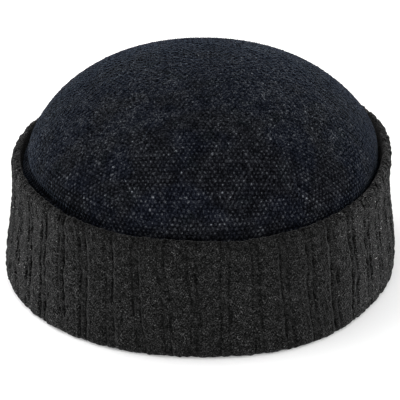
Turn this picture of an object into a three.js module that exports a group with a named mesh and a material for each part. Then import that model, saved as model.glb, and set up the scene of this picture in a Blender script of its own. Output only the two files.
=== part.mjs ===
// A docker beanie: six woven gores sewn into a shallow round crown, whose hem is held in a deep
// turned-up cuff of rib knit. Millimetres, +Z up, standing on the floor at z = 0.
// Azimuth 0 is the front of the hat (-Y) and grows towards +X.

import * as THREE from 'three';

// Outside of the cuff, on the crests of its ribs.
const HALF_WIDTH_AT_FOOT = 94.0;
const HALF_WIDTH_AT_LIP = 92.1;
const DEPTH_TO_WIDTH = 1.06;
const OVAL_POWER = 2.1; // 2 is an ellipse, more is squarer

// The turned-up cuff is soft, so its lip rolls up and down and it leans in and out on its way round.
// lip: height of the lip; lean and flare: how far the lip and the foot stand outside the plain oval.
const CUFF_ROUND = [
  { azimuth: 0, lip: 59.5, lean: 0.4, flare: 0.0 },
  { azimuth: 30, lip: 61.0, lean: -0.3, flare: 0.0 },
  { azimuth: 60, lip: 62.5, lean: -0.8, flare: -1.5 },
  { azimuth: 90, lip: 65.0, lean: -0.7, flare: 0.8 },
  { azimuth: 120, lip: 63.5, lean: 1.2, flare: 0.0 },
  { azimuth: 150, lip: 62.5, lean: 0.0, flare: 0.0 },
  { azimuth: 180, lip: 61.5, lean: 0.0, flare: 0.0 },
  { azimuth: 210, lip: 60.5, lean: 0.0, flare: 0.0 },
  { azimuth: 240, lip: 57.5, lean: -0.3, flare: -1.0 },
  { azimuth: 270, lip: 59.0, lean: -1.3, flare: 0.7 },
  { azimuth: 300, lip: 62.5, lean: -1.3, flare: 1.0 },
  { azimuth: 330, lip: 60.0, lean: 0.0, flare: 0.0 },
];

// Rib knit: a wide raised rib and a narrow sunk channel, over and over.
const RIB_COUNT = 44;
const CHANNEL_DEPTH = 1.2;
// across: place within one rib, as a share of its pitch; sunk: 1 in the channel, 0 on the crest.
const RIB_OUTLINE = [
  { across: -0.3, sunk: 0 },
  { across: 0.3, sunk: 0 },
  { across: 0.4, sunk: 1 },
  { across: 0.6, sunk: 1 },
];

// Layers of the cuff, from the outside in.
const TURN_UP_THICKNESS = 4.2;
const GROOVE_BESIDE_CROWN = 0.8;
const CROWN_CLOTH = 2.0;
const CLEARANCE = 0.5;
const INNER_WALL_THICKNESS = 3.0;
const FOLD_THICKNESS = 8.0; // both layers together, where they turn at the foot
const INNER_WALL_TOP = 51;
const POCKET_FLOOR = 42.5;
const HEM_HEIGHT = 43.5; // lower edge of the crown, inside the pocket
const HELD_BELOW = 53; // the crown's cloth lies along the pocket up to here

// Crown: an oval dome whose widest level is hidden behind the cuff.
const CROWN_HALF_WIDTH = 89;
const CROWN_WIDEST_LEVEL = 47;
const CROWN_TOP = 108.6;
const CROWN_SHIFT = 2.1; // the slack crown sits a little towards +X
const SHIFT_STARTS = 50;
const SHIFT_ENDS = 75;
const GORE_COUNT = 6;
const FIRST_SEAM_AZIMUTH = -28;
const SEAM_GAP = 0.3;
const SEAM_RIDGE = 0.5; // how far the seams stand outside the middle of the gores
const COLUMNS_PER_GORE = 8;

const RADIANS = Math.PI / 180;
const DOME_HEIGHT = CROWN_TOP - CROWN_WIDEST_LEVEL;
const HEM_ANGLE = Math.asin((HEM_HEIGHT - CROWN_WIDEST_LEVEL) / DOME_HEIGHT) / RADIANS;
const HELD_ANGLE = Math.asin((HELD_BELOW - CROWN_WIDEST_LEVEL) / DOME_HEIGHT) / RADIANS;
// Angles up the dome's ellipse at which a gore has a row of points, from the hem to its tip.
const GORE_ROWS = [HEM_ANGLE, HELD_ANGLE, 11, 19, 27, 36, 46, 56, 66, 75, 83, 89.4];

// The value of one column of CUFF_ROUND at any azimuth, on a smooth closed curve through its rows.
function roundTheCuff(column, azimuth) {
  const rows = CUFF_ROUND.length;
  const place = (((azimuth / 360) * rows) % rows + rows) % rows;
  const row = Math.floor(place);
  const t = place - row;
  const [a, b, c, d] = [-1, 0, 1, 2].map((step) => CUFF_ROUND[(row + step + rows) % rows][column]);
  return b + 0.5 * t * (c - a + t * (2 * a - 5 * b + 4 * c - d + t * (3 * (b - c) + d - a)));
}

// Distance from the axis to an oval of the given half-width, along an azimuth.
function ovalReach(halfWidth, azimuth) {
  const x = Math.abs(Math.sin(azimuth * RADIANS)) / halfWidth;
  const y = Math.abs(Math.cos(azimuth * RADIANS)) / (halfWidth * DEPTH_TO_WIDTH);
  return (x ** OVAL_POWER + y ** OVAL_POWER) ** (-1 / OVAL_POWER);
}

// Distance from the axis to the crests on the outside of the cuff, at a height.
function cuffReach(azimuth, height) {
  const lip = roundTheCuff('lip', azimuth);
  const up = THREE.MathUtils.clamp(height / lip, 0, 1);
  const oval = ovalReach(THREE.MathUtils.lerp(HALF_WIDTH_AT_FOOT, HALF_WIDTH_AT_LIP, up), azimuth);
  return oval + THREE.MathUtils.lerp(roundTheCuff('flare', azimuth), roundTheCuff('lean', azimuth), up);
}

// A point at an azimuth, a distance from a vertical axis and a height.
function pointAt(azimuth, reach, height, axisX = 0) {
  const angle = azimuth * RADIANS;
  return new THREE.Vector3(axisX + reach * Math.sin(angle), -reach * Math.cos(angle), height);
}

// A closed band: the same section of points repeated round a ring, one row of points for each place.
function bandFromSections(sections) {
  const count = sections.length;
  const size = sections[0].length;
  const point = (place, step) => (place % count) * size + (step % size);
  const index = [];
  for (let place = 0; place < count; place += 1) {
    for (let step = 0; step < size; step += 1) {
      const [a, b] = [point(place, step), point(place, step + 1)];
      const [c, d] = [point(place + 1, step + 1), point(place + 1, step)];
      index.push(a, c, b, a, d, c);
    }
  }
  return bufferGeometry(sections.flat(), index);
}

// A closed solid between an outer and an inner sheet of points, both given as rows of equal length.
function solidBetweenSheets(outer, inner) {
  const rows = outer.length;
  const columns = outer[0].length;
  const innerStart = rows * columns;
  const outside = (row, column) => row * columns + column;
  const inside = (row, column) => innerStart + row * columns + column;
  const index = [];
  const quad = (a, b, c, d) => index.push(a, b, c, a, c, d);
  for (let row = 0; row < rows - 1; row += 1) {
    for (let column = 0; column < columns - 1; column += 1) {
      quad(outside(row, column), outside(row, column + 1),
        outside(row + 1, column + 1), outside(row + 1, column));
      quad(inside(row, column), inside(row + 1, column),
        inside(row + 1, column + 1), inside(row, column + 1));
    }
    quad(outside(row, 0), outside(row + 1, 0), inside(row + 1, 0), inside(row, 0));
    quad(outside(row + 1, columns - 1), outside(row, columns - 1),
      inside(row, columns - 1), inside(row + 1, columns - 1));
  }
  for (let column = 0; column < columns - 1; column += 1) {
    quad(outside(0, column + 1), outside(0, column), inside(0, column), inside(0, column + 1));
    quad(outside(rows - 1, column), outside(rows - 1, column + 1),
      inside(rows - 1, column + 1), inside(rows - 1, column));
  }
  return bufferGeometry([...outer.flat(), ...inner.flat()], index);
}

function bufferGeometry(points, index) {
  const geometry = new THREE.BufferGeometry();
  geometry.setAttribute('position', new THREE.Float32BufferAttribute(points.flatMap((p) => p.toArray()), 3));
  geometry.setIndex(index);
  geometry.computeVertexNormals();
  return geometry;
}

// The cuff's section, from the foot up the outside, over the lip, down into the pocket that holds the
// crown's hem, over the inner wall and down the inside. inset: how far inside the crests of the outer
// ribs; rib: which way a channel moves the point, 1 inwards, -1 outwards, 0 where there are no ribs.
function cuffSection(lip) {
  const back = TURN_UP_THICKNESS;
  const wallFace = TURN_UP_THICKNESS + GROOVE_BESIDE_CROWN + CROWN_CLOTH + CLEARANCE;
  const wallBack = wallFace + INNER_WALL_THICKNESS;
  return [
    { inset: 2.6, height: 0, rib: 1 },
    { inset: 0.9, height: 1.1, rib: 1 },
    { inset: 0.0, height: 4, rib: 1 },
    { inset: 0.2, height: lip - 4, rib: 1 },
    { inset: 0.9, height: lip - 1.2, rib: 0.9 },
    { inset: back / 2 + 0.3, height: lip, rib: 0.3 },
    { inset: back - 0.5, height: lip - 1.1, rib: 0 },
    { inset: back, height: lip - 3.2, rib: 0 },
    { inset: back, height: POCKET_FLOOR, rib: 0 },
    { inset: wallFace, height: POCKET_FLOOR, rib: 0 },
    { inset: wallFace, height: INNER_WALL_TOP - 1.4, rib: 0 },
    { inset: wallFace + 1.2, height: INNER_WALL_TOP, rib: 0 },
    { inset: wallBack - 0.5, height: INNER_WALL_TOP - 0.4, rib: -0.5 },
    { inset: wallBack, height: INNER_WALL_TOP - 2.6, rib: -1 },
    { inset: FOLD_THICKNESS, height: 5, rib: -1 },
    { inset: FOLD_THICKNESS - 0.7, height: 1.2, rib: -1 },
    { inset: FOLD_THICKNESS - 2.4, height: 0, rib: -1 },
  ];
}

function cuffGeometry() {
  const sections = [];
  for (let rib = 0; rib < RIB_COUNT; rib += 1) {
    for (const { across, sunk } of RIB_OUTLINE) {
      const azimuth = ((rib + across) * 360) / RIB_COUNT;
      const section = cuffSection(roundTheCuff('lip', azimuth));
      sections.push(section.map(({ inset, height, rib: way }) => {
        const reach = cuffReach(azimuth, height) - inset - way * sunk * CHANNEL_DEPTH;
        return pointAt(azimuth, reach, height);
      }));
    }
  }
  return bandFromSections(sections);
}

// A point on the outside of the crown, at an azimuth and an angle up the dome's ellipse.
// Where the cuff holds it, the cloth lies along the pocket.
function crownPoint(azimuth, angle) {
  const height = CROWN_WIDEST_LEVEL + DOME_HEIGHT * Math.sin(angle * RADIANS);
  const axisX = CROWN_SHIFT * THREE.MathUtils.smoothstep(height, SHIFT_STARTS, SHIFT_ENDS);
  const turn = Math.cos(GORE_COUNT * (azimuth - FIRST_SEAM_AZIMUTH) * RADIANS);
  const ridge = (SEAM_RIDGE / 2) * turn;
  const dome = (ovalReach(CROWN_HALF_WIDTH, azimuth) + ridge) * Math.cos(angle * RADIANS);
  const grooveFace = cuffReach(azimuth, height) - TURN_UP_THICKNESS - GROOVE_BESIDE_CROWN;
  const pocket = grooveFace - axisX * Math.sin(azimuth * RADIANS);
  const held = angle <= HELD_ANGLE;
  return pointAt(azimuth, held ? pocket : Math.min(dome, pocket), height, axisX);
}

// The crown's outward direction at a point, from the slopes along and across the cloth.
function crownNormal(azimuth, angle) {
  const step = 0.3;
  const across = crownPoint(azimuth + step, angle).sub(crownPoint(azimuth - step, angle));
  const upwards = crownPoint(azimuth, angle + step).sub(crownPoint(azimuth, angle - step));
  return across.cross(upwards).normalize();
}

function goreGeometry(gore) {
  const seam = FIRST_SEAM_AZIMUTH + (gore * 360) / GORE_COUNT;
  const span = 360 / GORE_COUNT;
  const outer = [];
  const inner = [];
  for (const angle of GORE_ROWS) {
    const middle = crownPoint(seam + span / 2, angle);
    const trim = Math.asin(SEAM_GAP / 2 / Math.hypot(middle.x, middle.y)) / RADIANS;
    const azimuths = Array.from({ length: COLUMNS_PER_GORE + 1 }, (_, column) => (
      seam + trim + (column / COLUMNS_PER_GORE) * (span - 2 * trim)
    ));
    outer.push(azimuths.map((azimuth) => crownPoint(azimuth, angle)));
    inner.push(azimuths.map((azimuth) => (
      crownPoint(azimuth, angle).addScaledVector(crownNormal(azimuth, angle), -CROWN_CLOTH)
    )));
  }
  return solidBetweenSheets(outer, inner);
}

const ribKnit = new THREE.MeshStandardMaterial({ color: 0x2e2e2f, roughness: 0.95, metalness: 0 });
const tweed = new THREE.MeshStandardMaterial({ color: 0x191d26, roughness: 0.95, metalness: 0 });

function namedMesh(name, geometry, material) {
  const mesh = new THREE.Mesh(geometry, material);
  mesh.name = name;
  return mesh;
}

const hat = new THREE.Group();
hat.add(namedMesh('cuff', cuffGeometry(), ribKnit));

const crown = new THREE.Group();
for (let gore = 0; gore < GORE_COUNT; gore += 1) {
  crown.add(namedMesh(`crown_gore_${gore + 1}`, goreGeometry(gore), tweed));
}
hat.add(crown);

export default hat;
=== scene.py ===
"""A docker beanie: a turned-up cuff of charcoal rib knit round a shallow crown of six tweed gores.

Each cloth is made as it is sewn: cut flat as a grid whose x runs across the cloth, y along it and z
into it, then laid over the hat's form. Sizes are in millimetres, and MM turns them into metres.
Azimuth 0 is the front of the hat (-Y) and grows towards +X.
"""

import logging
import math
from collections.abc import Iterator
from contextlib import contextmanager
from dataclasses import dataclass
from dataclasses import field
from enum import Enum
from typing import NamedTuple

import bpy
import numpy as np
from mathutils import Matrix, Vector


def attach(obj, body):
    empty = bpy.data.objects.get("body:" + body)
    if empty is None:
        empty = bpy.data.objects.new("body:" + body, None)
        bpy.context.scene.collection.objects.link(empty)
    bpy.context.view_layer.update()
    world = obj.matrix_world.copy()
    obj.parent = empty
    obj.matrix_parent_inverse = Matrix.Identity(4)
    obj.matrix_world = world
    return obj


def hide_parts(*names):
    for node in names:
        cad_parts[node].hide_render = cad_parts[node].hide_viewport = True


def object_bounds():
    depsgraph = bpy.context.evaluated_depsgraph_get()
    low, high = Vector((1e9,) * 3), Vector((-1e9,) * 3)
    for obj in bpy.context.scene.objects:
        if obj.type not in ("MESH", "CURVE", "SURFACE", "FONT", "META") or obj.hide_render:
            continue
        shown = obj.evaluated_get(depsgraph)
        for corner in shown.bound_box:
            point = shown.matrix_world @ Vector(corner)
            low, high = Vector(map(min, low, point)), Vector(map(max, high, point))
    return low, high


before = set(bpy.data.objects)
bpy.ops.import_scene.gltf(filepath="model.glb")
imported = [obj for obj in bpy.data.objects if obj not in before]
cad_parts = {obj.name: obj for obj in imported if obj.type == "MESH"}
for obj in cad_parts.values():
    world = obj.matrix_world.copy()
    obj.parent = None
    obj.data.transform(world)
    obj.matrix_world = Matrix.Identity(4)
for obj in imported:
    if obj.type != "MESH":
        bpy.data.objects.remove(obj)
cad_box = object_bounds()

log = logging.getLogger("beanie")

MM = 0.001
CLOTH_MAP = "cloth"  # the UV map that each pattern reads
NAP = "nap"  # the attribute that says how far a cloth's nap hides its stitches or its weave
CHANNEL = "channel"  # the attribute that says how deep the knit's channels are
PAINTED_LIP_SHADE = "lip_shade"  # the attribute that says how much painted shade darkens the knit round the lip, where the crown shades it
PAINTED_GROOVE_SHADE = "deep"  # the attribute that says how much painted shade darkens the tweed in the groove behind the lip
MEAN_RADIUS = 95.0  # of the cuff
WAVE_COUNT = 14  # sine waves in one waviness
ROW_STEP = 12.9  # from bobble to bobble, two steps that never repeat set each one a little astray
COLUMN_STEP = 7.23
NEARBY = (-1, 0, 1, 2)  # the places in a row that a curve goes by: one before it, its ends, one after
FACE_DEPTH = 0.01  # what lies less deep than this in a flat cloth is its outer face

Array = np.ndarray
Colour = tuple[float, float, float, float]


class CuffStation(NamedTuple):
    """How the soft cuff stands at one azimuth.

    lip: the lip's height; foot, low, middle, high and top: how far its outside stands out from the
    plain oval at five even steps up to the lip; rib_depth: how deep the ribs are, as a share;
    lean: how far round the hat a wale's foot lies from its top; gap: how far the crown draws in
    beside the lip.
    """

    azimuth: float
    lip: float
    foot: float
    low: float
    middle: float
    high: float
    top: float
    rib_depth: float
    lean: float
    gap: float


CUFF_LEVELS = ("foot", "low", "middle", "high", "top")
CUFF_ROUND = (
    CuffStation(0, 59.5, -0.6, -0.2, 0.0, 0.1, 0.4, 0.45, 3.4, 3.6),
    CuffStation(30, 60.6, -0.4, 0.0, -0.2, -0.4, -0.3, 0.65, 6.0, 3.4),
    CuffStation(60, 63.3, -2.4, -1.0, -1.0, -1.3, -0.9, 0.8, 9.0, 2.6),
    CuffStation(90, 65.0, 0.7, 1.15, -0.4, -1.3, -0.6, 0.85, 6.0, 1.4),
    CuffStation(120, 63.0, 0.2, 0.5, 0.5, 0.6, 1.2, 0.85, 3.0, 1.2),
    CuffStation(150, 62.5, 0.0, 0.2, 0.1, 0.0, 0.1, 1.1, 2.0, 0.6),
    CuffStation(180, 61.5, 0.0, 0.2, 0.1, 0.0, 0.1, 1.1, 2.0, 0.6),
    CuffStation(210, 60.5, 0.0, 0.2, 0.1, 0.0, 0.1, 1.1, 2.0, 0.8),
    CuffStation(240, 57.2, -0.9, -0.5, -0.7, -0.9, -0.3, 0.85, 2.0, 1.6),
    CuffStation(270, 59.0, 0.95, 0.55, -0.65, -1.0, -0.4, 0.85, 3.0, 3.4),
    CuffStation(300, 59.8, 0.9, 0.8, 0.0, -0.8, -0.8, 0.85, 3.0, 4.4),
    CuffStation(330, 59.6, 0.5, 0.4, 0.1, 0.0, 0.0, 0.75, 3.4, 3.8),
)


class RibPlace(NamedTuple):
    """A place across half a rib, from the middle of its raised band to the middle of its channel.

    across: the place as a share of the rib's pitch; furrow: how deep it lies between two wales, the
    knit's columns of stitches; channel: how deep it lies in the sunk channel.
    """

    across: float
    furrow: float
    channel: float


HALF_RIB = (
    RibPlace(0.000, 0.08, 0.00),
    RibPlace(0.056, 0.01, 0.00),
    RibPlace(0.111, 0.01, 0.00),
    RibPlace(0.167, 0.08, 0.00),
    RibPlace(0.222, 0.01, 0.04),
    RibPlace(0.272, 0.01, 0.14),
    RibPlace(0.308, 0.00, 0.42),
    RibPlace(0.335, 0.00, 0.80),
    RibPlace(0.362, 0.00, 1.05),
    RibPlace(0.389, 0.00, 0.88),
    RibPlace(0.418, 0.00, 0.56),
    RibPlace(0.452, 0.00, 0.36),
    RibPlace(0.500, 0.03, 0.30),
)


def smoothstep(value: Array, low: float, high: float) -> Array:
    """A share that rises smoothly from 0 at low to 1 at high."""
    share = np.clip((value - low) / (high - low), 0.0, 1.0)
    return share * share * (3.0 - 2.0 * share)


def curve_between(before: Array, start: Array, end: Array, after: Array, share: Array) -> Array:
    """A smooth curve from start to end, whose slopes heed the values before and after them."""
    bend = 2.0 * before - 5.0 * start + 4.0 * end - after
    bend = bend + share * (3.0 * (start - end) + after - before)
    return start + 0.5 * share * (end - before + share * bend)


class Waviness(Enum):
    """How fine a waviness is: its shortest and longest wave, in millimetres."""

    BROAD = (26.0, 90.0)
    LUMPY = (3.6, 9.0)
    UNEVEN = (6.0, 22.0)
    TUFTED = (1.6, 4.5)


class Seed(Enum):
    """Chooses the sine waves of each waviness on the hat, the same ones on each run."""

    WALES = 3
    WALES_CLOSE_BY = 4
    LIP = 5
    LIP_CLOSE_BY = 6
    CHANNELS = 11
    CUFF_LUMPS = 17
    CUFF_TUFTS = 18
    WEAVE_ACROSS = 21
    WEAVE_ALONG = 22
    CROWN_NAP = 31
    CROWN_SLACK = 41
    CROWN_TUFTS = 43


def waves(
    around: Array, up: Array | float, seed: Seed, waviness: Waviness = Waviness.BROAD
) -> Array:
    """Smooth waviness made of sine waves that close on themselves round the hat.

    Args:
        around: place round the hat, in radians.
        up: place along the cloth, in millimetres.
        seed: chooses the waves.
        waviness: how fine it is.

    Returns:
        A value from about -1 to 1 at each place.
    """
    draw = np.random.default_rng(seed.value)
    shortest, longest = waviness.value
    total = np.zeros(np.broadcast(around, up).shape)
    for _ in range(WAVE_COUNT):
        length = draw.uniform(shortest, longest)
        heading = draw.uniform(0.0, math.pi)
        phase = draw.uniform(0.0, 2.0 * math.pi)
        round_the_hat = round(2.0 * math.pi * MEAN_RADIUS / length * math.cos(heading))
        along_the_cloth = 2.0 * math.pi * math.sin(heading) / length
        total = total + np.sin(round_the_hat * around + along_the_cloth * up + phase)
    return total / math.sqrt(2.0 * WAVE_COUNT)


@contextmanager
def editing(piece: bpy.types.Object) -> Iterator[None]:
    """Keeps one piece in edit mode for the length of a with block."""
    bpy.ops.object.select_all(action="DESELECT")
    piece.select_set(True)
    bpy.context.view_layer.objects.active = piece
    bpy.ops.object.mode_set(mode="EDIT")
    try:
        yield
    finally:
        bpy.ops.object.mode_set(mode="OBJECT")


def select_faces(piece: bpy.types.Object, wanted: Array) -> None:
    """Selects the faces of a piece that a mask names, and nothing else of it."""
    mesh = piece.data
    bpy.context.tool_settings.mesh_select_mode = (False, False, True)
    mesh.vertices.foreach_set("select", np.zeros(len(mesh.vertices), bool))
    mesh.edges.foreach_set("select", np.zeros(len(mesh.edges), bool))
    mesh.polygons.foreach_set("select", wanted)


def vertex_places(piece: bpy.types.Object) -> Array:
    """The places of a piece's vertices, one row each."""
    places = np.zeros(len(piece.data.vertices) * 3)
    piece.data.vertices.foreach_get("co", places)
    return places.reshape(-1, 3)


def face_centres(piece: bpy.types.Object) -> Array:
    """The centres of a piece's faces, one row each."""
    centres = np.zeros(len(piece.data.polygons) * 3)
    piece.data.polygons.foreach_get("center", centres)
    return centres.reshape(-1, 3)


def cut_flat_cloth(name: str, columns: int, rows: int) -> bpy.types.Object:
    """Adds a flat cloth from -1 to 1 across and along, as a grid of faces.

    Args:
        name: the piece's name.
        columns: faces across.
        rows: faces along.

    Returns:
        The new piece.
    """
    bpy.ops.object.select_all(action="DESELECT")
    bpy.ops.mesh.primitive_grid_add(x_subdivisions=columns, y_subdivisions=rows, size=2)
    piece = bpy.context.active_object
    piece.name = name
    piece.data.name = name
    return piece


def lay_cloth(piece: bpy.types.Object, places: Array) -> None:
    """Moves a cloth's vertices to their places on the hat.

    Args:
        piece: the cloth, still flat.
        places: where each vertex goes, in millimetres.
    """
    piece.data.vertices.foreach_set("co", (places * MM).astype(np.float32).ravel())
    piece.data.update()


def map_cloth(piece: bpy.types.Object, across: Array, along: Array) -> None:
    """Gives a cloth the UV map that its pattern reads.

    Args:
        piece: the cloth.
        across: the pattern's first coordinate at each vertex.
        along: its second coordinate.
    """
    layer = piece.data.uv_layers.active
    layer.name = CLOTH_MAP
    corners = np.zeros(len(piece.data.loops), np.int32)
    piece.data.loops.foreach_get("vertex_index", corners)
    pairs = np.stack([across[corners], along[corners]], axis=1)
    layer.data.foreach_set("uv", pairs.astype(np.float32).ravel())


def mark_cloth(piece: bpy.types.Object, attribute: str, values: Array) -> None:
    """Gives each vertex of a cloth a value that its material reads."""
    layer = piece.data.attributes.new(attribute, "FLOAT", "POINT")
    layer.data.foreach_set("value", values.astype(np.float32))


def close_seams(piece: bpy.types.Object, weld: float) -> None:
    """Merges the vertices of a laid cloth that meet, and points its faces outwards.

    Args:
        piece: the cloth.
        weld: how near each other two vertices lie that become one, in metres.
    """
    with editing(piece):
        bpy.ops.mesh.select_all(action="SELECT")
        bpy.ops.mesh.remove_doubles(threshold=weld)
        bpy.ops.mesh.select_all(action="SELECT")
        bpy.ops.mesh.normals_make_consistent(inside=False)


def smooth_faces(piece: bpy.types.Object) -> None:
    """Shades a piece smooth all over."""
    bpy.ops.object.select_all(action="DESELECT")
    piece.select_set(True)
    bpy.context.view_layer.objects.active = piece
    bpy.ops.object.shade_smooth()


@dataclass(frozen=True)
class HatForm:
    """The smooth oval form that the cuff and the crown share."""

    half_width_at_foot: float = 94.0
    half_width_at_lip: float = 92.1
    depth_to_width: float = 1.06
    oval_power: float = 2.1

    def round_the_cuff(self, column: str, azimuth: Array) -> Array:
        """One column of CUFF_ROUND at any azimuth, on a smooth closed curve through its rows.

        Args:
            column: the column's name.
            azimuth: degrees round the hat.

        Returns:
            The column's value at each azimuth.
        """
        values = np.array([getattr(station, column) for station in CUFF_ROUND])
        place = np.asarray(azimuth) / 360.0 * len(values)
        row = np.floor(place).astype(int)
        nearby = [values[(row + step) % len(values)] for step in NEARBY]
        return curve_between(*nearby, place - row)

    def oval_reach(self, half_width: Array | float, azimuth: Array) -> Array:
        """Distance from the axis to an oval of a given half-width, along an azimuth."""
        angle = np.radians(azimuth)
        x = np.abs(np.sin(angle)) / half_width
        y = np.abs(np.cos(angle)) / (half_width * self.depth_to_width)
        return (x**self.oval_power + y**self.oval_power) ** (-1.0 / self.oval_power)

    def cuff_reach(self, azimuth: Array, height: Array) -> Array:
        """Distance from the axis to the crests on the outside of the cuff, at a height."""
        up = np.clip(height / self.round_the_cuff("lip", azimuth), 0.0, 1.0)
        half_width = self.half_width_at_foot + (self.half_width_at_lip - self.half_width_at_foot) * up
        levels = np.stack([self.round_the_cuff(level, azimuth) for level in CUFF_LEVELS])
        last = len(levels) - 1
        place = up * last
        row = np.minimum(np.floor(place).astype(int), last - 1)
        rows_nearby = [np.clip(row + step, 0, last)[None] for step in NEARBY]
        nearby = [np.take_along_axis(levels, rows, axis=0)[0] for rows in rows_nearby]
        return self.oval_reach(half_width, azimuth) + curve_between(*nearby, place - row)


def point_at(azimuth: Array, reach: Array, height: Array, axis_x: Array | float = 0.0) -> Array:
    """The point at an azimuth, a distance from a vertical axis and a height, one row each."""
    angle = np.radians(azimuth)
    return np.stack([axis_x + reach * np.sin(angle), -reach * np.cos(angle), height], axis=-1)


class Speckle(NamedTuple):
    """One layer of cloudy noise in the colour and relief of a cloth.

    scale: how fine it is; gain: by how many doublings of brightness it moves the colour; detail: how
    rough its clouds are; across and along: how much it is squeezed each way; layer: which slice of
    the noise it is, so that no two are alike; relief: its share of the bump.
    """

    scale: float
    gain: float
    detail: float = 1.0
    across: float = 1.0
    along: float = 1.0
    layer: float = 0.0
    relief: float = 0.0


class Signal:
    """A value on its way through a material. Python's arithmetic on it adds Math nodes."""

    def __init__(self, graph: "NodeGraph", socket: bpy.types.NodeSocket) -> None:
        """Wraps a node's output."""
        self.graph = graph
        self.socket = socket

    def _math(self, operation: str, *values: "Signal | float") -> "Signal":
        """Adds a Math node that works on the given values, in their order."""
        inputs = dict(enumerate(values))
        return self.graph.node("ShaderNodeMath", {"operation": operation}, inputs)["Value"]

    def __add__(self, other: "Signal | float") -> "Signal":
        """This value plus another."""
        return self._math("ADD", self, other)

    def __radd__(self, other: float) -> "Signal":
        """A number plus this value."""
        return self._math("ADD", other, self)

    def __sub__(self, other: "Signal | float") -> "Signal":
        """This value less another."""
        return self._math("SUBTRACT", self, other)

    def __rsub__(self, other: float) -> "Signal":
        """A number less this value."""
        return self._math("SUBTRACT", other, self)

    def __mul__(self, other: "Signal | float") -> "Signal":
        """This value times another."""
        return self._math("MULTIPLY", self, other)

    def __rmul__(self, other: float) -> "Signal":
        """A number times this value."""
        return self._math("MULTIPLY", other, self)

    def __truediv__(self, other: "Signal | float") -> "Signal":
        """This value divided by another."""
        return self._math("DIVIDE", self, other)

    def __pow__(self, other: float) -> "Signal":
        """This value to a power."""
        return self._math("POWER", self, other)

    def __rpow__(self, other: float) -> "Signal":
        """A number to the power of this value."""
        return self._math("POWER", other, self)

    def __mod__(self, other: float) -> "Signal":
        """What is left of this value after whole steps of another."""
        return self._math("FLOORED_MODULO", self, other)

    def __abs__(self) -> "Signal":
        """The size of this value, without its sign."""
        return self._math("ABSOLUTE", self)

    def floor(self) -> "Signal":
        """The whole number at or below this value."""
        return self._math("FLOOR", self)

    def cosine(self) -> "Signal":
        """The cosine of this value, in radians."""
        return self._math("COSINE", self)

    def rises(self, low: float, high: float) -> "Signal":
        """A share that goes smoothly from 0 where this value is low to 1 where it is high."""
        settings = {"interpolation_type": "SMOOTHSTEP"}
        inputs = {"Value": self, "From Min": low, "From Max": high}
        return self.graph.node("ShaderNodeMapRange", settings, inputs)["Result"]


class PlacedNode:
    """A node in a material, whose outputs are read by name as signals."""

    def __init__(self, graph: "NodeGraph", node: bpy.types.Node) -> None:
        """Keeps a node and the graph that it belongs to."""
        self.graph = graph
        self.node = node

    def __getitem__(self, name: str) -> Signal:
        """The output of that name or identifier."""
        return Signal(self.graph, NodeGraph.socket(self.node.outputs, name))


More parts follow.
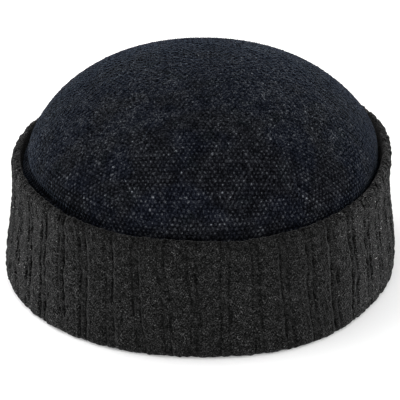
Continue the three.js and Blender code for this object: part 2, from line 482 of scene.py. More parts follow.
class NodeGraph:
    """The node tree of a material or a world, and the one method that adds nodes to it."""

    def __init__(self, owner: bpy.types.Material | bpy.types.World) -> None:
        """Empties the owner's node tree."""
        owner.use_nodes = True
        self.owner = owner
        self.tree = owner.node_tree
        self.tree.nodes.clear()

    @staticmethod
    def socket(sockets: bpy.types.bpy_prop_collection, key: str | int) -> bpy.types.NodeSocket:
        """Finds a socket by its number, its identifier or its name."""
        if isinstance(key, int):
            return sockets[key]
        for candidate in sockets:
            if candidate.identifier == key:
                return candidate
        return sockets[key]

    def node(
        self,
        kind: str,
        settings: dict[str, object] | None = None,
        inputs: dict[str | int, object] | None = None,
    ) -> PlacedNode:
        """Adds a node.

        Args:
            kind: the node's type.
            settings: its properties by name, which are set first.
            inputs: the value or signal of each of its sockets, by name, identifier or number.

        Returns:
            The node, ready to be read.
        """
        placed = self.tree.nodes.new(kind)
        for name, value in (settings or {}).items():
            setattr(placed, name, value)
        for key, value in (inputs or {}).items():
            target = self.socket(placed.inputs, key)
            if isinstance(value, Signal):
                self.tree.links.new(value.socket, target)
            else:
                target.default_value = value
        return PlacedNode(self, placed)

    def cloth_map(self) -> tuple[Signal, Signal]:
        """The two coordinates of the cloth's own map."""
        place = self.node("ShaderNodeUVMap", {"uv_map": CLOTH_MAP})["UV"]
        parts = self.node("ShaderNodeSeparateXYZ", inputs={"Vector": place})
        return parts["X"], parts["Y"]

    def attribute(self, name: str) -> Signal:
        """The value of one of the cloth's attributes."""
        return self.node("ShaderNodeAttribute", {"attribute_name": name})["Fac"]

    def vector(self, x: Signal | float, y: Signal | float, z: Signal | float = 0.0) -> Signal:
        """Three values as one vector."""
        return self.node("ShaderNodeCombineXYZ", inputs={"X": x, "Y": y, "Z": z})["Vector"]

    def noise(self, place: Signal, scale: float, detail: float = 2.0) -> Signal:
        """Cloudy noise from about 0 to 1 at a place."""
        inputs = {"Vector": place, "Scale": scale, "Detail": detail}
        return self.node("ShaderNodeTexNoise", inputs=inputs)["Fac"]

    def speckles(self, across: Signal, along: Signal, speckle: Speckle) -> Signal:
        """One layer of noise over a cloth.

        Args:
            across: place across the cloth, in millimetres.
            along: place along it.
            speckle: the layer.

        Returns:
            A value from about 0 to 1.
        """
        place = self.vector(across * speckle.across, along * speckle.along, speckle.layer)
        return self.noise(place, speckle.scale, speckle.detail)

    def chance(self, column: Signal, row: Signal, layer: float = 0.0) -> Signal:
        """A random value from 0 to 1 for each stitch or bobble of a cloth."""
        inputs = {"Vector": self.vector(column, row, layer)}
        return self.node("ShaderNodeTexWhiteNoise", {"noise_dimensions": "3D"}, inputs)["Value"]

    def mix(self, share: Signal, first: Colour | Signal, second: Colour) -> Signal:
        """Mixes two colours.

        Args:
            share: how much of the second colour.
            first: the first colour, as a signal or as numbers.
            second: the second colour.

        Returns:
            The mixed colour.
        """
        inputs = {"Factor_Float": share, "A_Color": first, "B_Color": second}
        return self.node("ShaderNodeMix", {"data_type": "RGBA"}, inputs)["Result_Color"]

    def brightened(self, colour: Signal | tuple[float, float, float], doublings: Signal) -> Signal:
        """A colour made brighter by a number of doublings, or darker where it is less than 0."""
        inputs = {"Vector": colour, "Scale": 2.0**doublings}
        return self.node("ShaderNodeVectorMath", {"operation": "SCALE"}, inputs)["Vector"]

    def bumped(self, height: Signal, depth: float) -> Signal:
        """A normal that follows a height from 0 to 1, in metres of depth."""
        return self.node("ShaderNodeBump", inputs={"Height": height, "Distance": depth})["Normal"]

    def finish(self, surface: Signal, output: str = "ShaderNodeOutputMaterial") -> None:
        """Joins the surface to the tree's output."""
        self.node(output, {"is_active_output": True}, {"Surface": surface})


@dataclass(frozen=True)
class RibKnit:
    """Charcoal wool melange: dark and pale fibres spun together, knitted in soft stitches.

    The gains say by how many doublings of brightness each pattern moves the colour. Each pair called
    an edge says between which distances from the middle of a channel, in wales, a pattern fades.
    """

    slot: str = "rib_knit"
    colour: tuple[float, float, float] = (0.0073, 0.0073, 0.0073)
    roughness: float = 0.95
    sheen: float = 0.085
    sheen_roughness: float = 0.3
    wales_per_rib: float = 6.0
    wale_width: float = 2.33
    course_height: float = 2.3
    band_edge: tuple[float, float] = (0.8, 1.0)  # of the stitches on a rib's raised band
    stitch_slope: float = 0.9  # how steeply a stitch's legs rise, in courses for half a wale
    stitch_gain: float = 0.7
    stitch_relief: float = 0.2
    relief_depth: float = 0.9 * MM
    fibres: Speckle = Speckle(scale=1.6, gain=5.6, detail=2.0, relief=0.3)
    fibre_shift: float = 3.7  # from one wale's fibres to the next wale's, so that no two are alike
    fibre_layers: float = 1.3
    hairs: Speckle = Speckle(scale=2.3, gain=11.0, across=0.85, along=0.85, layer=4.0, relief=0.2)
    tufts: Speckle = Speckle(scale=1.8, gain=7.6, across=0.5, layer=31.0, relief=1.2)
    wisps: Speckle = Speckle(scale=0.62, gain=3.4, layer=17.0, relief=0.3)
    wisp_slant: float = 0.35
    clouds: Speckle = Speckle(scale=0.25, gain=1.4, along=0.8, layer=9.0)
    contrast_of_nap: float = 0.28  # how much more the fibres differ where the nap stands up
    crease_shade_wales: float = 0.78  # from the middle of a channel to each of its two painted shade lines, where the wales curl over into it
    crease_shade_width: float = 0.45
    crease_shade_gain: float = 0.75
    channel_shade_edge: tuple[float, float] = (0.7, 1.9)  # of the painted shade in a channel
    channel_shade_gain: float = 0.65
    channel_shade_under_nap: float = 0.7  # how much of that painted shade shows only where the nap stands up
    channel_shade_elsewhere: float = 0.15
    lip_shade_gain: float = 0.36  # painted shade: how much darker the knit is made round the lip

    def material(self) -> bpy.types.Material:
        """Builds the knit's material."""
        graph = NodeGraph(bpy.data.materials.new("charcoal_rib_knit"))
        wales, courses = graph.cloth_map()
        wale = wales.floor()
        from_channel = abs(wales % self.wales_per_rib - self.wales_per_rib / 2.0)
        raised = from_channel.rises(*self.band_edge)
        in_wale = abs((wales % 1.0) * 2.0 - 1.0)
        leg = courses - in_wale * raised * self.stitch_slope
        stitch = ((leg * (2.0 * math.pi)).cosine() * 0.5 + 0.5) * raised

        across = wales * self.wale_width
        along = courses * self.course_height
        beside_leg = in_wale * self.wale_width + wale * self.fibre_shift
        fibre_place = graph.vector(beside_leg, leg * self.course_height, wale * self.fibre_layers)
        fibres = graph.noise(fibre_place, self.fibres.scale, self.fibres.detail)
        hairs = graph.speckles(across, along, self.hairs)
        tufts = graph.speckles(across, along, self.tufts)
        wisps = graph.speckles(across + along * self.wisp_slant, along, self.wisps)
        clouds = graph.speckles(across, along, self.clouds)
        nap = graph.attribute(NAP)
        melange = (
            (fibres - 0.5) * self.fibres.gain
            + (hairs - 0.5) * self.hairs.gain
            + (tufts - 0.5) * nap * self.tufts.gain
            + (wisps - 0.5) * self.wisps.gain
            + (clouds - 0.5) * self.clouds.gain
            + (stitch - raised * 0.5) * self.stitch_gain
        )

        # painted shade: a dark line on each side of a channel, where the wales curl over into it
        groove = 1.0 - abs(from_channel - self.crease_shade_wales).rises(0.0, self.crease_shade_width)
        # painted shade across each channel, deeper where the nap stands up
        channel_shade = 1.0 - from_channel.rises(*self.channel_shade_edge)
        shown = nap * self.channel_shade_under_nap + self.channel_shade_elsewhere
        channel = graph.attribute(CHANNEL)
        brightness = (
            melange * (nap * self.contrast_of_nap + 1.0)
            - groove * channel * self.crease_shade_gain
            - channel_shade * channel * shown * self.channel_shade_gain
            # painted shade round the lip
            - graph.attribute(PAINTED_LIP_SHADE) * self.lip_shade_gain
        )
        relief = (
            stitch * self.stitch_relief
            + fibres * self.fibres.relief
            + hairs * self.hairs.relief
            + wisps * self.wisps.relief
            + tufts * nap * self.tufts.relief
        )
        surface = graph.node(
            "ShaderNodeBsdfPrincipled",
            inputs={
                "Base Color": graph.brightened(self.colour, brightness),
                "Roughness": self.roughness,
                "Specular IOR Level": 0.0,
                "Sheen Weight": self.sheen,
                "Sheen Roughness": self.sheen_roughness,
                "Normal": graph.bumped(relief, self.relief_depth),
            },
        )
        graph.finish(surface["BSDF"])
        return graph.owner


@dataclass(frozen=True)
class Tweed:
    """Navy and black tweed: rows of small round bobbles, staggered like bricks, some of them pale.

    The gains say by how many doublings of brightness each pattern moves the colour. Each pair called
    an edge says between which values something comes in.
    """

    slot: str = "tweed"
    grey: Colour = (0.0067, 0.0071, 0.0090, 1.0)
    blue: Colour = (0.0058, 0.0069, 0.0110, 1.0)
    green: Colour = (0.0060, 0.0074, 0.0090, 1.0)
    pale: Colour = (0.0062, 0.0066, 0.0073, 1.0)
    blue_scale: float = 50.0  # of the noise that scatters the blue wool
    blue_edge: tuple[float, float] = (0.42, 0.64)
    blue_of_nap: float = 0.10
    green_scale: float = 90.0
    green_edge: tuple[float, float] = (0.58, 0.72)
    most_green: float = 0.7
    pale_edge: tuple[float, float] = (-0.3, 2.2)  # of the brightness, in doublings
    roughness: float = 0.95
    sheen: float = 0.17
    sheen_roughness: float = 0.2
    sheen_tint: Colour = (0.60, 0.75, 1.0, 1.0)
    relief_depth: float = 0.26 * MM
    astray: float = 0.2  # how far a bobble may lie from its place, in millimetres
    slimness: float = 1.5  # how much slimmer than high a bobble is, as a squared share
    smallest: float = 0.65  # a bobble's least size, and how much more it may have
    size_spread: float = 0.4
    size_layer: float = 5.0  # the slice of chance that the sizes are drawn from
    bobble_edge: tuple[float, float] = (0.2, 1.25)  # from a bobble's middle outwards, in its sizes
    bobble_gain: float = 2.15
    bobble_relief: float = 0.4
    bobbles_hidden: float = 0.75  # the share of the bobbles' pattern that the nap hides
    luck_gain: float = 1.5  # luck sets each bobble's own brightness, and the luckiest are flecks
    luck_hidden: float = 0.3
    fleck_edge: tuple[float, float] = (0.93, 0.99)
    fleck_gain: float = 0.9
    yarn: Speckle = Speckle(scale=1.0, gain=1.0, detail=2.0, across=0.3, along=0.8, layer=7.0)
    fuzz: Speckle = Speckle(scale=2.7, gain=8.5, along=0.9, layer=2.0, relief=0.6)
    fuzz_of_nap: float = 0.5  # how much more the fuzz shows where the nap stands up
    grain: Speckle = Speckle(scale=1.5, gain=3.8, detail=0.0, layer=51.0)
    tufts: Speckle = Speckle(scale=0.95, gain=5.4, across=1.05, along=0.45, layer=23.0)
    mottle_scale: float = 120.0
    mottle_gain: float = 2.2
    groove_shade_gain: float = 1.15  # painted shade: how much darker the cloth is made in the groove behind the lip

    def material(self, pitch: float, row_height: float) -> bpy.types.Material:
        """Builds the tweed's material.

        Args:
            pitch: distance between two bobbles of a row, in millimetres.
            row_height: distance between two rows.

        Returns:
            The material, for a cloth map in millimetres.
        """
        graph = NodeGraph(bpy.data.materials.new("navy_tweed"))
        across, along = graph.cloth_map()
        row = (along / row_height).floor()
        place = across / pitch + (row % 2.0) * 0.5
        column = place.floor()
        x = (place - column - 0.5) * pitch
        x = x + (row * ROW_STEP + column * COLUMN_STEP).cosine() * self.astray
        y = (along / row_height - row - 0.5) * row_height
        y = y + (column * ROW_STEP - row * COLUMN_STEP).cosine() * self.astray
        size = graph.chance(column, row, self.size_layer) * self.size_spread + self.smallest
        from_middle = (x * x * self.slimness + y * y) ** 0.5
        bobble = 1.0 - (from_middle / size).rises(*self.bobble_edge)

        luck = graph.chance(column, row)
        yarn = graph.speckles(across, row, self.yarn)
        fuzz = graph.speckles(across, along, self.fuzz)
        grain = graph.speckles(across, along, self.grain)
        tufts = graph.speckles(across - along, across + along, self.tufts)
        object_place = graph.node("ShaderNodeTexCoord")["Object"]
        mottle = graph.noise(object_place, self.mottle_scale)
        nap = graph.attribute(NAP)
        brightness = (
            (bobble - 0.5) * (1.0 - nap * self.bobbles_hidden) * self.bobble_gain
            + (luck - 0.5) * (1.0 - nap * self.luck_hidden) * self.luck_gain
            + luck.rises(*self.fleck_edge) * bobble * self.fleck_gain
            + (yarn - 0.5) * self.yarn.gain
            + (fuzz - 0.5) * (nap * self.fuzz_of_nap + 1.0) * self.fuzz.gain
            + (grain - 0.5) * self.grain.gain
            + (tufts - 0.5) * nap * self.tufts.gain
            + (mottle - 0.5) * self.mottle_gain
            # painted shade in the groove behind the lip
            - graph.attribute(PAINTED_GROOVE_SHADE) * self.groove_shade_gain
        )

        blueness = graph.noise(object_place, self.blue_scale) + nap * self.blue_of_nap
        greenness = graph.noise(object_place, self.green_scale).rises(*self.green_edge)
        colour = graph.mix(blueness.rises(*self.blue_edge), self.grey, self.blue)
        colour = graph.mix(greenness * self.most_green, colour, self.green)
        colour = graph.mix(brightness.rises(*self.pale_edge), colour, self.pale)
        relief = bobble * self.bobble_relief + fuzz * self.fuzz.relief
        surface = graph.node(
            "ShaderNodeBsdfPrincipled",
            inputs={
                "Base Color": graph.brightened(colour, brightness),
                "Roughness": self.roughness,
                "Specular IOR Level": 0.0,
                "Sheen Weight": self.sheen,
                "Sheen Roughness": self.sheen_roughness,
                "Sheen Tint": self.sheen_tint,
                "Normal": graph.bumped(relief, self.relief_depth),
            },
        )
        graph.finish(surface["BSDF"])
        return graph.owner


class SectionLine:
    """The cuff's section, drawn as lines and arcs with so many rows of stitches on each.

    A point is (inset, height, lift, relief): how far inside the cuff's crests it lies, how high,
    how much of the lip's height is added to that, and how much of the ribs' depth shows there.
    """

    def __init__(self, inset: float, height: float, lift: float, relief: float) -> None:
        """Sets the pen down at the first point."""
        self.points = [(inset, height, lift, relief)]

    def line(self, inset: float, height: float, lift: float, relief: float, rows: int) -> None:
        """Draws a straight stretch to a point."""
        start = np.array(self.points[-1])
        end = np.array((inset, height, lift, relief))
        self.points += [tuple(start + (end - start) * step / rows) for step in range(1, rows + 1)]

    def arc(
        self, radius: float, rise: float, start: float, sweep: float, relief: float, rows: int
    ) -> None:
        """Draws a round stretch.

        Args:
            radius: the arc's radius across the cloth.
            rise: its radius up the cloth.
            start: the direction from its centre to the point where the pen is, in degrees from
                the outside of the hat towards the top.
            sweep: the angle it turns through, positive towards the top.
            relief: the ribs' depth at its end.
            rows: rows of stitches along it.
        """
        inset, height, lift, first_relief = self.points[-1]
        centre_inset = inset + radius * math.cos(math.radians(start))
        centre_height = height - rise * math.sin(math.radians(start))
        for step in range(1, rows + 1):
            turn = math.radians(start + sweep * step / rows)
            share = step / rows
            self.points.append((
                centre_inset - radius * math.cos(turn),
                centre_height + rise * math.sin(turn),
                lift,
                first_relief + (relief - first_relief) * share,
            ))


@dataclass
class Cuff:
    """The band of rib knit, turned up on itself round the crown's hem."""

    form: HatForm
    finish: RibKnit = field(default_factory=RibKnit)
    ribs: int = 44
    turn_up_thickness: float = 4.2
    groove_beside_crown: float = 0.8
    crown_cloth: float = 2.0
    clearance: float = 0.5
    inner_wall_thickness: float = 3.0
    fold_thickness: float = 8.0
    inner_wall_top: float = 51.0
    pocket_floor: float = 42.5
    foot_radius: float = 3.0
    lip_fade: float = 10.0  # below the lip the ribs begin to flatten
    lip_rise: float = 5.0  # how far below the lip its outside begins to curve in
    lip_roll: float = 0.35  # how far it stands out there
    lip_back: float = 1.0  # the smaller radius of its inner side
    foot_relief: float = 0.7  # how much of the ribs' depth shows on the fold, and so on upwards
    roll_relief: float = 0.75
    lip_relief: float = 0.15
    wall_top_relief: float = 0.6
    wall_rows: int = 52
    first_rib: float = 2.0  # azimuth of the middle of a rib
    wander: float = 1.5  # how far the wales stray from straight
    close_wander: float = 0.22  # how much of that they stray again close by, as a share
    lip_wander: float = 0.45
    lip_close_wander: float = 0.5
    lip_rags: float = 0.8  # how much more the lip strays than the wall, as a share
    mean_channel: float = 0.9  # how deep the channels are and how far they differ, as shares
    channel_spread: float = 0.7
    deepest_channel: float = 2.0
    nap_starts: float = 0.4  # how far to the side the nap begins, as a share of the hat's width
    nap_ends: float = 0.95
    lumpiness: float = 0.24
    tuft_height: float = 0.2
    tufts_without_nap: float = 0.3
    # how far below the lip the painted shade on its outside reaches
    lip_shade_reach: float = 3.5
    weld: float = 0.000001  # in metres, as is all that follows
    cut_length: float = 0.612  # of the flat band before it is folded
    cut_width: float = 0.125

    @property
    def lip_front(self) -> float:
        """How far inside the cuff's crests the top of the lip lies."""
        return self.turn_up_thickness - self.lip_back

    def section(self) -> Array:
        """The rows of the cuff's section, from the foot up the outside and back inside to the foot."""
        pocket_width = self.groove_beside_crown + self.crown_cloth + self.clearance
        wall_face = self.turn_up_thickness + pocket_width
        top = self.inner_wall_thickness / 2.0
        foot = self.foot_radius
        roll = self.lip_front + self.lip_roll
        drawn = SectionLine(foot, 0.0, lift=0.0, relief=self.foot_relief)
        drawn.arc(foot, foot, start=-90.0, sweep=90.0, relief=1.0, rows=4)
        drawn.line(0.0, -self.lip_fade, lift=1.0, relief=1.0, rows=self.wall_rows)
        drawn.line(-self.lip_roll, -self.lip_rise, lift=1.0, relief=self.roll_relief, rows=4)
        drawn.arc(roll, self.lip_rise, start=0.0, sweep=90.0, relief=self.lip_relief, rows=7)
        drawn.arc(self.lip_back, self.lip_back, start=90.0, sweep=90.0, relief=0.0, rows=4)
        drawn.line(self.turn_up_thickness, self.pocket_floor, lift=0.0, relief=0.0, rows=3)
        drawn.line(wall_face, self.pocket_floor, lift=0.0, relief=0.0, rows=1)
        drawn.line(wall_face, self.inner_wall_top - top, lift=0.0, relief=0.0, rows=1)
        drawn.arc(top, top, start=0.0, sweep=180.0, relief=self.wall_top_relief, rows=4)
        drawn.line(self.fold_thickness, foot, lift=0.0, relief=1.0, rows=9)
        drawn.arc(foot, foot, start=180.0, sweep=90.0, relief=self.foot_relief, rows=3)
        drawn.line(foot, 0.0, lift=0.0, relief=self.foot_relief, rows=1)
        return np.array(drawn.points)

    def build(self) -> bpy.types.Object:
        """Builds and dresses the band.

        Returns:
            The finished piece.
        """
        columns_per_rib = 2 * (len(HALF_RIB) - 1)
        section = self.section()
        rows = len(section) - 1
        band = cut_flat_cloth("cuff_band", self.ribs * columns_per_rib, rows)
        flat = vertex_places(band)
        column = np.rint((flat[:, 0] + 1.0) / 2.0 * self.ribs * columns_per_rib)
        row = np.rint((flat[:, 1] + 1.0) / 2.0 * rows).astype(int)
        across, furrow, channel = self._place_in_rib(column, columns_per_rib)
        azimuth = self.first_rib + across * 360.0 / self.ribs
        turn = np.radians(azimuth)

        inset, height, lift, relief = section[row].T
        lip = self.form.round_the_cuff("lip", azimuth)
        lip_stray = waves(turn, 0.0, Seed.LIP)
        close_by = waves(turn, 0.0, Seed.LIP_CLOSE_BY, Waviness.LUMPY)
        lip_stray = lip_stray + self.lip_close_wander * close_by
        height = height + lift * (lip + self.lip_wander * lip_stray)
        along = self._length_along(section)[row]
        stray = waves(turn, along, Seed.WALES)
        close_by = waves(turn, along, Seed.WALES_CLOSE_BY, Waviness.UNEVEN)
        stray = stray + self.close_wander * close_by
        lean = self.form.round_the_cuff("lean", azimuth) * (1.0 - height / lip)
        azimuth = azimuth + np.degrees((self.wander * stray + lean) / MEAN_RADIUS)

        # painted shade on the outside of the lip: darkest at its top, fading away below it and towards
        # its inner side
        lip_shade = (1.0 - np.clip((lip - height) / self.lip_shade_reach, 0.0, 1.0)) ** 2
        lip_shade = lip_shade * (1.0 - smoothstep(inset, self.lip_front, self.turn_up_thickness))
        uneven = self.channel_spread * waves(turn, along, Seed.CHANNELS, Waviness.UNEVEN)
        uneven = np.clip(self.mean_channel + uneven, 0.0, self.deepest_channel)
        strength = self.form.round_the_cuff("rib_depth", azimuth) * uneven
        nap = smoothstep(np.abs(np.sin(turn)), self.nap_starts, self.nap_ends)
        tufts = self.tuft_height * waves(turn, along, Seed.CUFF_TUFTS, Waviness.TUFTED)
        tufts = tufts * (self.tufts_without_nap + (1.0 - self.tufts_without_nap) * nap)
        lumps = self.lumpiness * waves(turn, along, Seed.CUFF_LUMPS, Waviness.LUMPY) + tufts
        ragged = (1.0 + self.lip_rags * (1.0 - relief)) * smoothstep(relief, 0.0, self.lip_relief)
        sunk = relief * (furrow + channel * strength) + lumps * ragged
        normal_inset, normal_height = self._section_normals(section)[row].T
        reach = self.form.cuff_reach(azimuth, height) - inset - normal_inset * sunk
        lay_cloth(band, point_at(azimuth, reach, height - normal_height * sunk))
        map_cloth(band, across * self.finish.wales_per_rib, along / self.finish.course_height)
        mark_cloth(band, NAP, nap)
        mark_cloth(band, CHANNEL, uneven)
        mark_cloth(band, PAINTED_LIP_SHADE, lip_shade)
        close_seams(band, self.weld)
        smooth_faces(band)
        band.data.materials.append(self.finish.material())
        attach(band, "root")
        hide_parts("cuff")
        return band

    def _place_in_rib(self, column: Array, columns_per_rib: int) -> tuple[Array, Array, Array]:
        """Where a column of the grid lies on the knit.

        Args:
            column: the column's number round the cuff.
            columns_per_rib: how many of them make a rib.

        Returns:
            Its place in ribs, its furrow depth and its channel depth.
        """
        rib = np.floor(column / columns_per_rib)
        step = (column - rib * columns_per_rib).astype(int)
        mirrored = step > columns_per_rib // 2
        entry = np.where(mirrored, columns_per_rib - step, step)
        across, furrow, channel = np.array(HALF_RIB)[entry].T
        return rib + np.where(mirrored, 1.0 - across, across), furrow, channel

    def _mean_line(self, section: Array) -> tuple[Array, Array]:
        """The inset and the height of each row of the section, for a lip of mean height."""
        mean_lip = np.mean([station.lip for station in CUFF_ROUND])
        return section[:, 0], section[:, 1] + section[:, 2] * mean_lip

    def _length_along(self, section: Array) -> Array:
        """How far along the cloth each row of the section lies."""
        inset, height = self._mean_line(section)
        return np.concatenate([[0.0], np.cumsum(np.hypot(np.diff(inset), np.diff(height)))])

    def _section_normals(self, section: Array) -> Array:
        """The direction into the cloth at each row: inwards, and down."""
        inset, height = self._mean_line(section)
        around = np.stack([np.gradient(inset), np.gradient(height)], axis=1)
        around /= np.linalg.norm(around, axis=1, keepdims=True)
        return np.stack([around[:, 1], around[:, 0]], axis=1)


@dataclass
class Crown:
    """The shallow round crown: six gores of tweed, sewn edge to edge."""

    form: HatForm
    finish: Tweed = field(default_factory=Tweed)
    half_width: float = 89.0
    widest_level: float = 47.0
    hem_height: float = 43.5
    held_below: float = 53.0  # the heights between which the cloth comes free of the cuff's pocket
    free_above: float = 58.0
    shift: float = 1.5  # how far the crown's middle moves to the right between the next two heights
    shift_starts: float = 50.0
    shift_ends: float = 75.0
    neck_fall: float = 6.5  # above the pocket, the height in which most of the drawing-in is made up
    inset_of_pocket: float = 5.0
    slack: float = 0.7  # how far the soft crown strays from its plain form
    gores: int = 6
    first_seam: float = -28.0  # its azimuth
    seam_gap: float = 0.06
    seam_ridge: float = 0.5
    seam_tuck: float = 0.12
    seam_tuck_width: float = 0.9
    cloth: float = 2.0
    allowance_width: float = 8.0
    allowance_edge: float = 2.2
    allowance_thickness: float = 1.2
    bobble_pitch: float = 2.27
    row_height: float = 2.0
    bobble_height: float = 0.34
    bobble_root: float = 0.34  # how far the ground between the bobbles lies inside the form
    bobbles_hidden: float = 0.6  # the share of their height that the nap hides
    bobbles_between_gores: int = 120  # no two gores take the same stretch of the tweed
    weave_wander: float = 0.25
    weave_reach: float = 2.0  # how far outside the plain dome the weave is measured
    tuft_height: float = 0.2
    tufts_without_nap: float = 0.4
    nap_at_front: float = 86.0  # the height from which the nap begins to hide the weave
    nap_at_left: float = 38.0
    nap_at_right: float = 54.0
    nap_fade: float = 36.0
    nap_wander: float = 6.0
    dark_below: float = -0.8  # the heights over the lip between which the painted shade in the groove fades out
    pale_above: float = 3.4
    shallow_gap: float = 3.5  # the widths of the groove between which the painted shade comes in
    deep_gap: float = 4.3
    slope_step: float = 0.3  # how far apart slopes are taken, in degrees
    arc_steps: int = 2000
    coarse_columns: int = 44
    coarse_rows: int = 54
    cuts: int = 4
    weld: float = 0.000002  # in metres, as is all that follows
    cut_width: float = 0.100  # of one gore before it is sewn
    cut_length: float = 0.126
    cut_area: float = 0.0070

    @property
    def dome_height(self) -> float:
        """Height of the dome above its widest level, from the frame."""
        return cad_box[1].z / MM - self.widest_level

    def point(self, azimuth: Array, angle: Array) -> Array:
        """A point on the smooth outside of the crown.

        Args:
            azimuth: degrees round the hat.
            angle: degrees up the dome's ellipse.

        Returns:
            The points, one row each.
        """
        height = self.widest_level + self.dome_height * np.sin(np.radians(angle))
        axis_x = self.shift * smoothstep(height, self.shift_starts, self.shift_ends)
        ridge = self.seam_ridge / 2.0 * np.cos(np.radians(self.gores * (azimuth - self.first_seam)))
        ridge = ridge - self.slack * waves(np.radians(azimuth), height, Seed.CROWN_SLACK)
        dome = (self.form.oval_reach(self.half_width, azimuth) + ridge) * np.cos(np.radians(angle))
        pocket = self.form.cuff_reach(azimuth, height) - self.inset_of_pocket
        pocket = pocket - axis_x * np.sin(np.radians(azimuth))
        free = smoothstep(height, self.held_below, self.free_above)
        drawn_in = self._dome_at_neck(azimuth) - pocket + self.form.round_the_cuff("gap", azimuth)
        above_neck = np.maximum(height - self.free_above, 0.0)
        beside_lip = dome - drawn_in * np.exp(-above_neck / self.neck_fall)
        reach = pocket + (beside_lip - pocket) * free
        return point_at(azimuth, reach, height, axis_x)

    def _dome_at_neck(self, azimuth: Array) -> Array:
        """Distance from the axis to the plain dome at the level where the crown leaves the pocket."""
        rise = (self.free_above - self.widest_level) / self.dome_height
        return self.form.oval_reach(self.half_width, azimuth) * math.sqrt(1.0 - rise**2)

    def normal(self, azimuth: Array, angle: Array) -> Array:
        """The crown's outward direction, from the slopes along and across the cloth."""
        step = self.slope_step
        across = self.point(azimuth + step, angle) - self.point(azimuth - step, angle)
        upwards = self.point(azimuth, angle + step) - self.point(azimuth, angle - step)
        out = np.cross(across, upwards)
        return out / np.linalg.norm(out, axis=-1, keepdims=True)

    def _arc_table(self, middle: float) -> tuple[Array, Array]:
        """Angles up the dome along the middle of a gore, and the cloth's length up to each."""
        hem_angle = math.degrees(math.asin((self.hem_height - self.widest_level) / self.dome_height))
        tip_angle = math.degrees(math.acos(self.seam_gap / self.half_width))
        angles = np.linspace(hem_angle, tip_angle, self.arc_steps)
        line = self.point(np.full_like(angles, middle), angles)
        steps = np.linalg.norm(np.diff(line, axis=0), axis=1)
        return angles, np.concatenate([[0.0], np.cumsum(steps)])

    def build(self) -> list[bpy.types.Object]:
        """Builds and dresses the gores.

        Returns:
            The finished pieces.
        """
        material = self.finish.material(self.bobble_pitch, self.row_height)
        return [self._gore(number, material) for number in range(self.gores)]

    def _gore(self, number: int, material: bpy.types.Material) -> bpy.types.Object:
        """Builds one gore.

        Args:
            number: which gore, counted from the first seam.
            material: the tweed.

        Returns:
            The finished gore.
        """
        gore = self._cut_gore(f"crown_gore_{number + 1}_tweed")
        flat = vertex_places(gore)
        span = 360.0 / self.gores
        middle = self.first_seam + span * (number + 0.5)
        angles, lengths = self._arc_table(middle)
        angle = np.interp((flat[:, 1] + 1.0) / 2.0 * lengths[-1], lengths, angles)

        reach = self.half_width * np.cos(np.radians(angle))
        trim = np.degrees(np.arcsin(np.clip(self.seam_gap / 2.0 / reach, 0.0, 0.5)))
        half_span = span / 2.0 - trim
        azimuth = middle + flat[:, 0] * half_span
        from_seam = np.radians(half_span * (1.0 - np.abs(flat[:, 0]))) * reach
        smooth_place = self.point(azimuth, angle)
        normal = self.normal(azimuth, angle)

        across, along = self._weave_place(smooth_place, middle)
        across = across + number * self.bobbles_between_gores * self.bobble_pitch
        height = smooth_place[:, 2]
        nap = self._nap(azimuth, height)
        raised = self._raised(across, along, nap)
        tucked = self.seam_tuck * (1.0 - smoothstep(from_seam, 0.0, self.seam_tuck_width))
        allowance_starts = self.allowance_width - self.allowance_edge
        allowance = 1.0 - smoothstep(from_seam, allowance_starts, self.allowance_width)
        free = smoothstep(height, self.held_below, self.free_above)
        inner_depth = self.cloth + free * self.allowance_thickness * allowance
        sunk = np.where(-flat[:, 2] < FACE_DEPTH, tucked - raised, inner_depth)
        lay_cloth(gore, smooth_place - normal * sunk[:, None])
        map_cloth(gore, across, along)
        mark_cloth(gore, NAP, nap)
        mark_cloth(gore, PAINTED_GROOVE_SHADE, self._painted_groove_shade(azimuth, height))
        close_seams(gore, self.weld)
        smooth_faces(gore)
        gore.data.materials.append(material)
        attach(gore, "root")
        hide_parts(f"crown_gore_{number + 1}")
        return gore

    def _cut_gore(self, name: str) -> bpy.types.Object:
        """Cuts a gore's flat wall: a slab whose outer side alone is fine enough for the weave."""
        gore = cut_flat_cloth(name, self.coarse_columns, self.coarse_rows)
        with editing(gore):
            bpy.ops.mesh.select_all(action="SELECT")
            bpy.ops.mesh.extrude_region_move(TRANSFORM_OT_translate={"value": (0.0, 0.0, -1.0)})
            bpy.ops.mesh.select_all(action="SELECT")
            bpy.ops.mesh.normals_make_consistent(inside=False)
        select_faces(gore, face_centres(gore)[:, 2] > -FACE_DEPTH)
        with editing(gore):
            bpy.ops.mesh.subdivide(number_cuts=self.cuts, ngon=True)
        return gore

    def _weave_place(self, places: Array, middle: float) -> tuple[Array, Array]:
        """Where a point of a gore lies in the weave, whose rows run square to the gore's middle.

        Args:
            places: points on the crown.
            middle: azimuth of the gore's middle.

        Returns:
            Millimetres across from the middle, and along it from the hem.
        """
        turn = math.radians(middle)
        from_axis = places - np.array([self.shift, 0.0, self.widest_level])
        sideways = from_axis[:, 0] * math.cos(turn) + from_axis[:, 1] * math.sin(turn)
        outwards = from_axis[:, 0] * math.sin(turn) - from_axis[:, 1] * math.cos(turn)
        radius = self.half_width + self.weave_reach
        across = radius * np.arcsin(np.clip(sideways / radius, -1.0, 1.0))
        angles, lengths = self._arc_table(middle)
        row_angle = np.degrees(np.arctan2(from_axis[:, 2] / self.dome_height, outwards / radius))
        along = np.interp(row_angle, angles, lengths)
        drift = self.weave_wander * waves(across / MEAN_RADIUS, along, Seed.WEAVE_ACROSS)
        sway = self.weave_wander * waves(across / MEAN_RADIUS, along, Seed.WEAVE_ALONG)
        return across + drift, along + sway

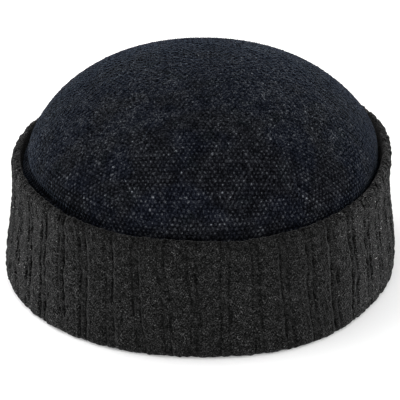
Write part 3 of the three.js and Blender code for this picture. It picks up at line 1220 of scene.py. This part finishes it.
    def _nap(self, azimuth: Array, height: Array) -> Array:
        """How far the nap hides the weave at each place: at the sides, and towards the top."""
        turn = np.radians(azimuth)
        to_the_right = (1.0 + np.sin(turn)) / 2.0
        at_sides = self.nap_at_left + (self.nap_at_right - self.nap_at_left) * to_the_right
        starts = at_sides + (self.nap_at_front - at_sides) * np.cos(turn) ** 2
        uneven = self.nap_wander * waves(turn, height, Seed.CROWN_NAP)
        return smoothstep(height + uneven, starts, starts + self.nap_fade)

    def _painted_groove_shade(self, azimuth: Array, height: Array) -> Array:
        """How much painted shade darkens each place in the groove behind the lip: only where the groove
        is wide.
        """
        above_lip = height - self.form.round_the_cuff("lip", azimuth)
        gap = self.form.round_the_cuff("gap", azimuth)
        low = 1.0 - smoothstep(above_lip, self.dark_below, self.pale_above)
        return low * smoothstep(gap, self.shallow_gap, self.deep_gap)

    def _raised(self, across: Array, along: Array, nap: Array) -> Array:
        """How far each place stands out from the crown's plain form, with its bobbles and tufts."""
        bobbles = self._bobbles(across, along) * self.bobble_height
        raised = bobbles * (1.0 - self.bobbles_hidden * nap) - self.bobble_root
        tufts = self.tuft_height * waves(across / MEAN_RADIUS, along, Seed.CROWN_TUFTS, Waviness.TUFTED)
        return raised + tufts * (self.tufts_without_nap + (1.0 - self.tufts_without_nap) * nap)

    def _bobbles(self, across: Array, along: Array) -> Array:
        """How far each place stands up as part of a bobble of the weave, from 0 to 1."""
        row = np.floor(along / self.row_height)
        place = across / self.bobble_pitch + (row % 2) * 0.5
        column = np.floor(place)
        astray = self.finish.astray
        x = (place - column - 0.5) * self.bobble_pitch
        x = x + astray * np.cos(row * ROW_STEP + column * COLUMN_STEP)
        y = (along / self.row_height - row - 0.5) * self.row_height
        y = y + astray * np.cos(column * ROW_STEP - row * COLUMN_STEP)
        distance = np.sqrt(x * x * self.finish.slimness + y * y) / (self.bobble_pitch / 2.0)
        return np.cos(np.clip(distance, 0.0, 1.0) * math.pi / 2.0) ** 2


class SoftBox(NamedTuple):
    """A square lamp that faces the hat.

    place: where it stands, in metres; size: its side, in metres; power: in watts.
    """

    name: str
    place: tuple[float, float, float]
    size: float
    power: float


SOFT_BOXES = (
    SoftBox("top_light", (-0.9, 0.2, 1.4), size=1.4, power=14.0),
    SoftBox("front_light", (0.0, -1.6, 0.5), size=1.2, power=15.0),
    SoftBox("left_light", (-1.5, 0.7, 0.7), size=1.2, power=4.0),
    SoftBox("right_light", (1.6, 0.4, 0.7), size=1.2, power=14.0),
)


@dataclass
class Studio:
    """A plain pale floor, a white surround, soft lights and the camera."""

    elevation: float = 25.66  # of the camera, in degrees above the floor
    distance: float = 2000.0  # from the camera to the point on the hat's axis that it circles
    focal_pixels: float = 4128.0
    image_pixels: float = 400.0
    sensor: float = 36.0
    axis_height: float = 50.0
    target_x: float = -0.46  # where the camera looks
    target_height: float = 34.73
    roll: float = -0.79
    floor_size: float = 8.0  # in metres
    floor_colour: Colour = (0.95, 0.95, 0.95, 1.0)
    floor_roughness: float = 0.9
    surround_colour: Colour = (1.0, 1.0, 1.0, 1.0)
    horizon: float = 1.88  # brightness of the surround there
    overhead: float = 0.58

    def build(self) -> None:
        """Builds the floor, the surround, the lights and the camera."""
        self._floor()
        self._surround()
        for soft_box in SOFT_BOXES:
            self._light(soft_box)
        self._camera()
        bpy.context.scene.view_settings.view_transform = "Standard"

    def _floor(self) -> None:
        """Adds the pale floor."""
        bpy.ops.object.select_all(action="DESELECT")
        bpy.ops.mesh.primitive_plane_add(size=self.floor_size, location=(0.0, 0.0, 0.0))
        floor = bpy.context.active_object
        floor.name = "floor"
        graph = NodeGraph(bpy.data.materials.new("white_floor"))
        surface = graph.node(
            "ShaderNodeBsdfPrincipled",
            inputs={
                "Base Color": self.floor_colour,
                "Roughness": self.floor_roughness,
                "Specular IOR Level": 0.0,
            },
        )
        graph.finish(surface["BSDF"])
        floor.data.materials.append(graph.owner)

    def _surround(self) -> None:
        """Lights the scene from all round, more brightly at the horizon than overhead."""
        graph = NodeGraph(bpy.data.worlds.new("white_surround"))
        direction = graph.node("ShaderNodeTexCoord")["Generated"]
        height = graph.node("ShaderNodeSeparateXYZ", inputs={"Vector": direction})["Z"]
        strength = height.rises(1.0, 0.0) * (self.horizon - self.overhead) + self.overhead
        inputs = {"Color": self.surround_colour, "Strength": strength}
        background = graph.node("ShaderNodeBackground", inputs=inputs)
        graph.finish(background["Background"], "ShaderNodeOutputWorld")
        bpy.context.scene.world = graph.owner

    def _light(self, soft_box: SoftBox) -> None:
        """Adds a soft box."""
        towards = Vector((0.0, 0.0, self.axis_height * MM)) - Vector(soft_box.place)
        rotation = towards.to_track_quat("-Z", "Y").to_euler()
        bpy.ops.object.light_add(type="AREA", location=soft_box.place, rotation=rotation)
        lamp = bpy.context.active_object
        lamp.name = soft_box.name
        lamp.data.size = soft_box.size
        lamp.data.energy = soft_box.power

    def _camera(self) -> None:
        """Adds the camera, at the photograph's angle above the floor."""
        tilt = math.radians(self.elevation)
        target = Vector((self.target_x, 0.0, self.target_height)) * MM
        back = Vector((0.0, -math.cos(tilt), math.sin(tilt))) * self.distance * MM
        place = Vector((0.0, 0.0, self.axis_height * MM)) + back
        view = (target - place).to_track_quat("-Z", "Y")
        bpy.ops.object.camera_add(location=place, rotation=view.to_euler())
        camera = bpy.context.active_object
        camera.name = "camera"
        camera.rotation_euler.rotate_axis("Z", math.radians(-self.roll))
        camera.data.sensor_width = self.sensor
        camera.data.lens = self.focal_pixels / self.image_pixels * self.sensor
        bpy.context.scene.camera = camera


def main() -> None:
    """Builds the hat and its studio, and reports each piece."""
    logging.basicConfig(level=logging.INFO, format="%(message)s")
    Studio().build()
    form = HatForm()
    pieces = [Cuff(form).build(), *Crown(form).build()]
    for piece in pieces:
        triangles = sum(len(face.vertices) - 2 for face in piece.data.polygons)
        log.info("%s: %d triangles", piece.name, triangles)


if __name__ == "__main__":
    main()
